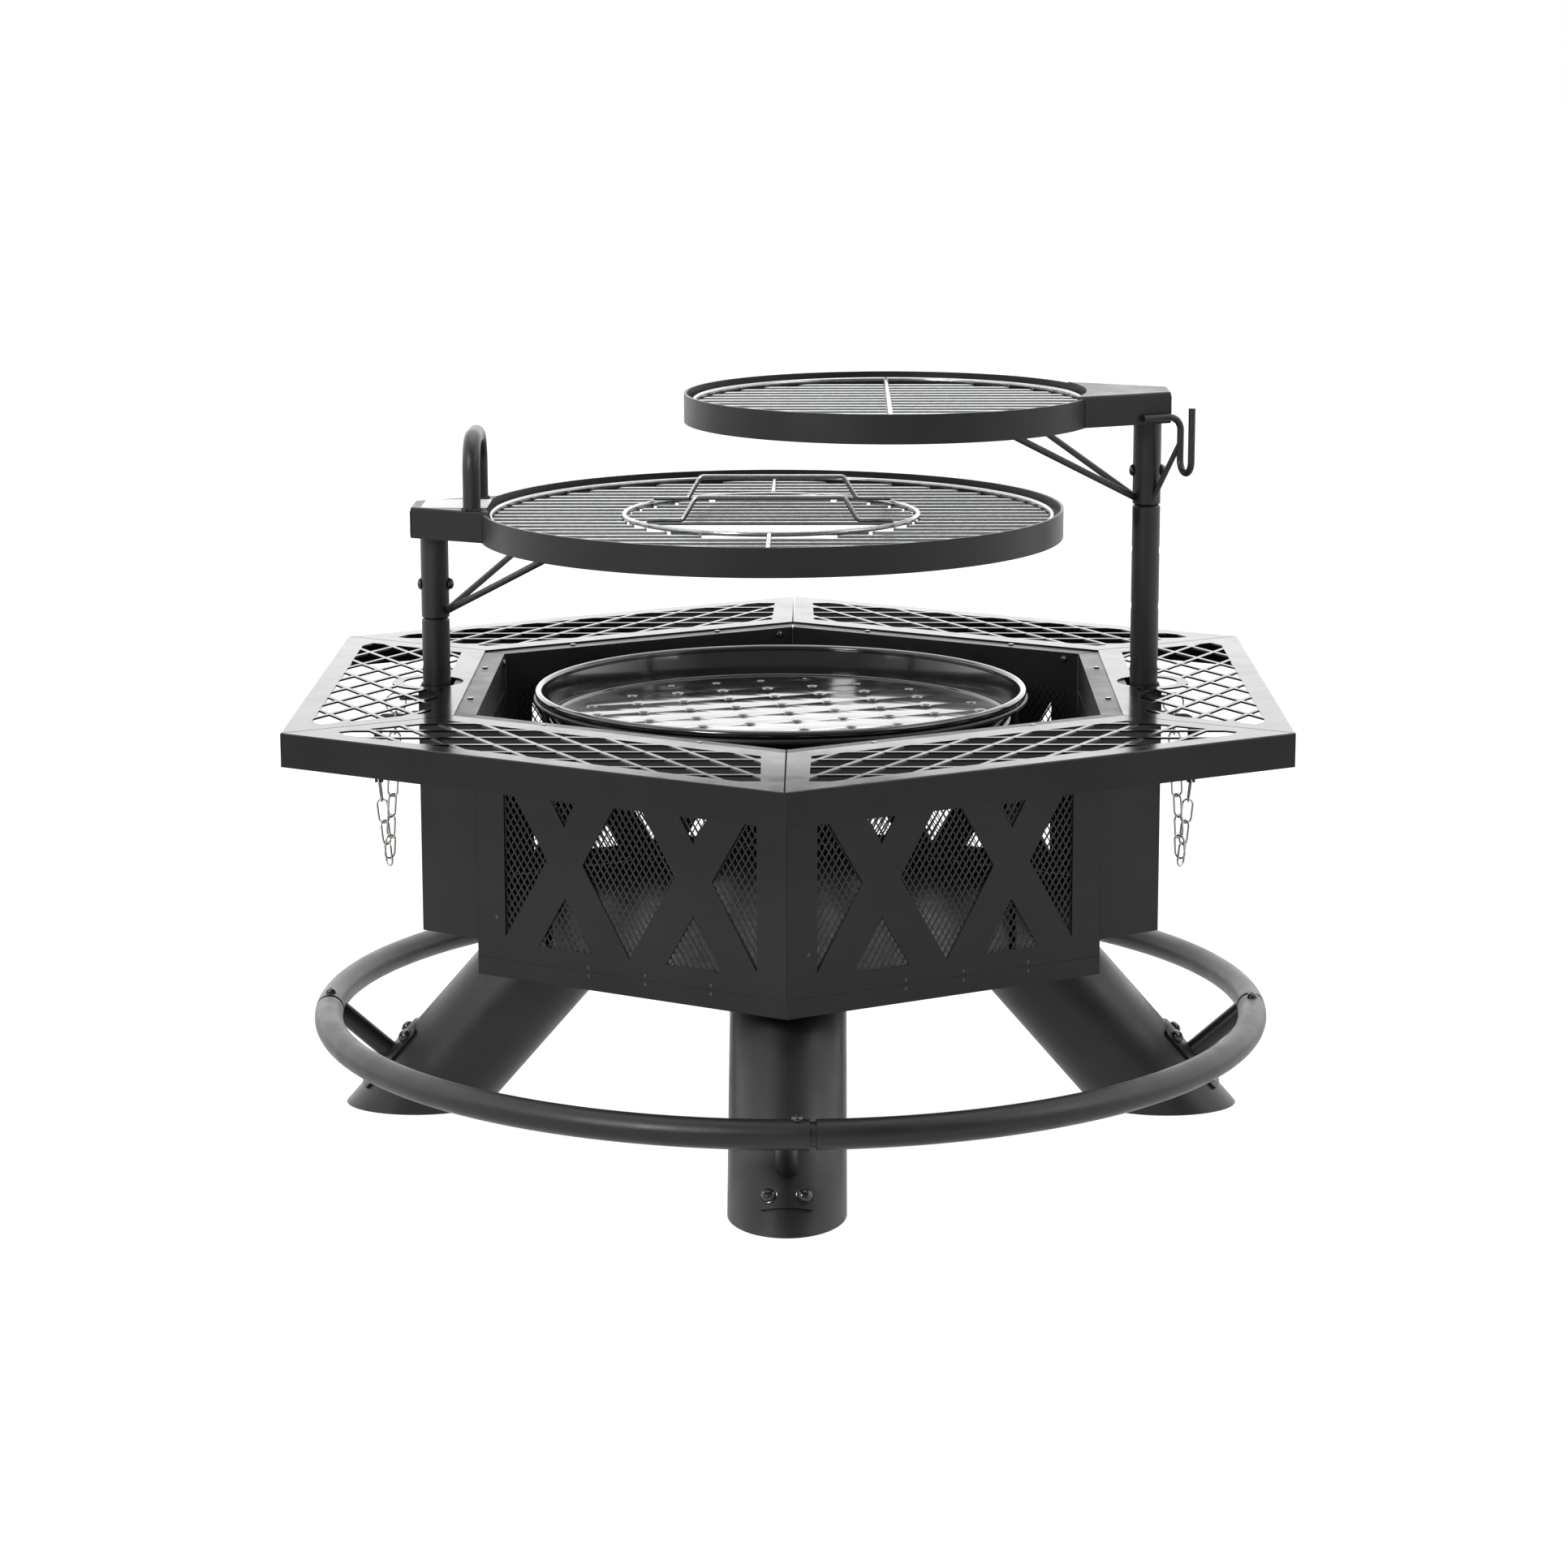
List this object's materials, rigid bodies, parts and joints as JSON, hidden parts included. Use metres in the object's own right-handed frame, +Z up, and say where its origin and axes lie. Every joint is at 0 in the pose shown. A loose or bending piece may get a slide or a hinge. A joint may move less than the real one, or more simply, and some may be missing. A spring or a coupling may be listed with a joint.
{
  "type": "fire pit",
  "caption": "Hexagonal steel wood fire pit with a pierced table rim, a lift-out pan, splayed legs, a round foot ring and swivelling, height-adjustable round grates on posts.",
  "frame": {"origin": "on the ground under the centre of the pit", "axes": "+Z up, -Y to the front, +X to the side with the upper grate's post; table corners point to +Y and -Y"},
  "size_m": [1.0529, 1.199, 0.7961],
  "materials": {
    "powder_coat": "satin, finely textured powder coat",
    "table_coat": "satin powder coat",
    "mesh_coat": "matt powder coat",
    "chrome_wire": "polished plating",
    "nickel_chain": "nickel plated",
    "pan_enamel": "glossy enamel",
    "fastener": "black oxide"
  },
  "bodies": {
    "base": {"base_tray": "powder_coat", "body_panel_back_left": "powder_coat", "body_panel_back_right": "powder_coat", "body_panel_front_left": "powder_coat", "body_panel_front_right": "powder_coat", "body_panel_left": "powder_coat", "body_panel_right": "powder_coat", "flange_screws": "fastener", "foot_ring_back_left": "powder_coat", "foot_ring_back_right": "powder_coat", "foot_ring_front_left": "powder_coat", "foot_ring_front_right": "powder_coat", "frame_bolts": "fastener", "leg_back": "powder_coat", "leg_front": "powder_coat", "leg_left": "powder_coat", "leg_right": "powder_coat", "mesh_screen_back_left": "mesh_coat", "mesh_screen_back_right": "mesh_coat", "mesh_screen_front_left": "mesh_coat", "mesh_screen_front_right": "mesh_coat", "mesh_screen_left": "mesh_coat", "mesh_screen_right": "mesh_coat", "pan_stand": "powder_coat", "post_guides_left": "powder_coat", "post_guides_right": "powder_coat", "post_housing_left": "powder_coat", "post_housing_right": "powder_coat", "ring_bracket_back": "powder_coat", "ring_bracket_front": "powder_coat", "ring_bracket_left": "powder_coat", "ring_bracket_right": "powder_coat", "table_panel_back_left": "table_coat", "table_panel_back_right": "table_coat", "table_panel_front_left": "table_coat", "table_panel_front_right": "table_coat", "table_panel_left": "table_coat", "table_panel_right": "table_coat"},
    "left_height": {"left_post": "powder_coat"},
    "left_swing": {"left_sleeve": "powder_coat", "left_sleeve_screws": "fastener", "left_arm": "powder_coat", "lower_band": "powder_coat", "left_braces": "powder_coat", "grip_handle": "powder_coat"},
    "grate": {"lower_grate": "chrome_wire"},
    "insert": {"grate_insert": "chrome_wire"},
    "right_height": {"right_post": "powder_coat"},
    "right_swing": {"right_sleeve": "powder_coat", "right_sleeve_screws": "fastener", "right_arm": "powder_coat", "upper_band": "powder_coat", "right_braces": "powder_coat", "tool_hook": "powder_coat"},
    "top_grate": {"upper_grate": "chrome_wire"},
    "pan": {"fire_pan": "pan_enamel"},
    "left_pin": {"left_lock_pin": "powder_coat", "left_chain": "nickel_chain"},
    "right_pin": {"right_lock_pin": "powder_coat", "right_chain": "nickel_chain"}
  },
  "joints": [
    {"name": "left_post_height", "type": "slide", "parent": "base", "child": "left_height", "axis": [0, 0, 1], "range_m": [-0.062, 0]},
    {"name": "left_arm_turn", "type": "hinge", "parent": "left_height", "child": "left_swing", "pos_m": [-0.387, 0, 0.6], "axis": [0, 0, 1], "continuous": true},
    {"name": "lower_grate_lift", "type": "slide", "parent": "left_swing", "child": "grate", "axis": [0, 0, 1], "range_m": [0, 0.03]},
    {"name": "insert_lift", "type": "slide", "parent": "grate", "child": "insert", "axis": [0, 0, 1], "range_m": [0, 0.03]},
    {"name": "right_post_height", "type": "slide", "parent": "base", "child": "right_height", "axis": [0, 0, 1], "range_m": [0, 0.062]},
    {"name": "right_arm_turn", "type": "hinge", "parent": "right_height", "child": "right_swing", "pos_m": [0.387, 0, 0.72], "axis": [0, 0, 1], "continuous": true},
    {"name": "upper_grate_lift", "type": "slide", "parent": "right_swing", "child": "top_grate", "axis": [0, 0, 1], "range_m": [0, 0.05]},
    {"name": "pan_lift", "type": "slide", "parent": "base", "child": "pan", "axis": [0, 0, 1], "range_m": [0, 0.06]},
    {"name": "left_pin_push", "type": "slide", "parent": "base", "child": "left_pin", "axis": [1, 0, 0], "range_m": [0, 0.012]},
    {"name": "right_pin_push", "type": "slide", "parent": "base", "child": "right_pin", "axis": [-1, 0, 0], "range_m": [0, 0.012]}
  ]
}
